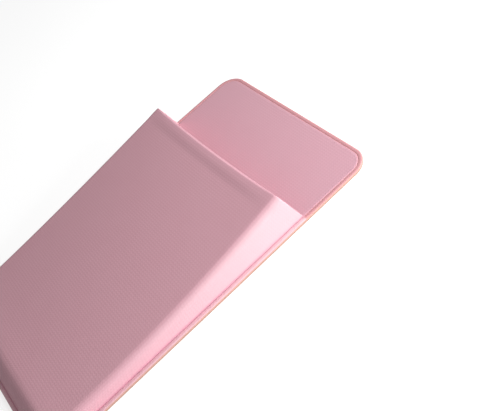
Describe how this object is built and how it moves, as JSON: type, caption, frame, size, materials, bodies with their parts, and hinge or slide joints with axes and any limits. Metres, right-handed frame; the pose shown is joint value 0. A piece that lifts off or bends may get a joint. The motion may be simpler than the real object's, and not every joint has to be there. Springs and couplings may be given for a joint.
{
  "type": "stick-on card pocket for a phone",
  "caption": "Stretch-knit pocket on an adhesive backed fabric panel that sticks to the back of a phone and holds bank cards behind an open mouth.",
  "frame": {"origin": "middle of the sticky underside", "axes": "+Z away from the surface it sticks to, +Y along the pocket towards its mouth, +X to the right seen from the front"},
  "size_m": [0.0576, 0.092, 0.01],
  "materials": {
    "adhesive": "peach acrylic adhesive sheet, matt cut edge",
    "panel_fabric": "smooth salmon pink knit faced panel with a heat pressed crease",
    "stretch_knit": "fine light pink stretch knit with a soft sheen"
  },
  "bodies": {
    "root": {"adhesive_sheet": "adhesive", "back_panel": "panel_fabric", "front_panel": "stretch_knit"}
  },
  "joints": []
}
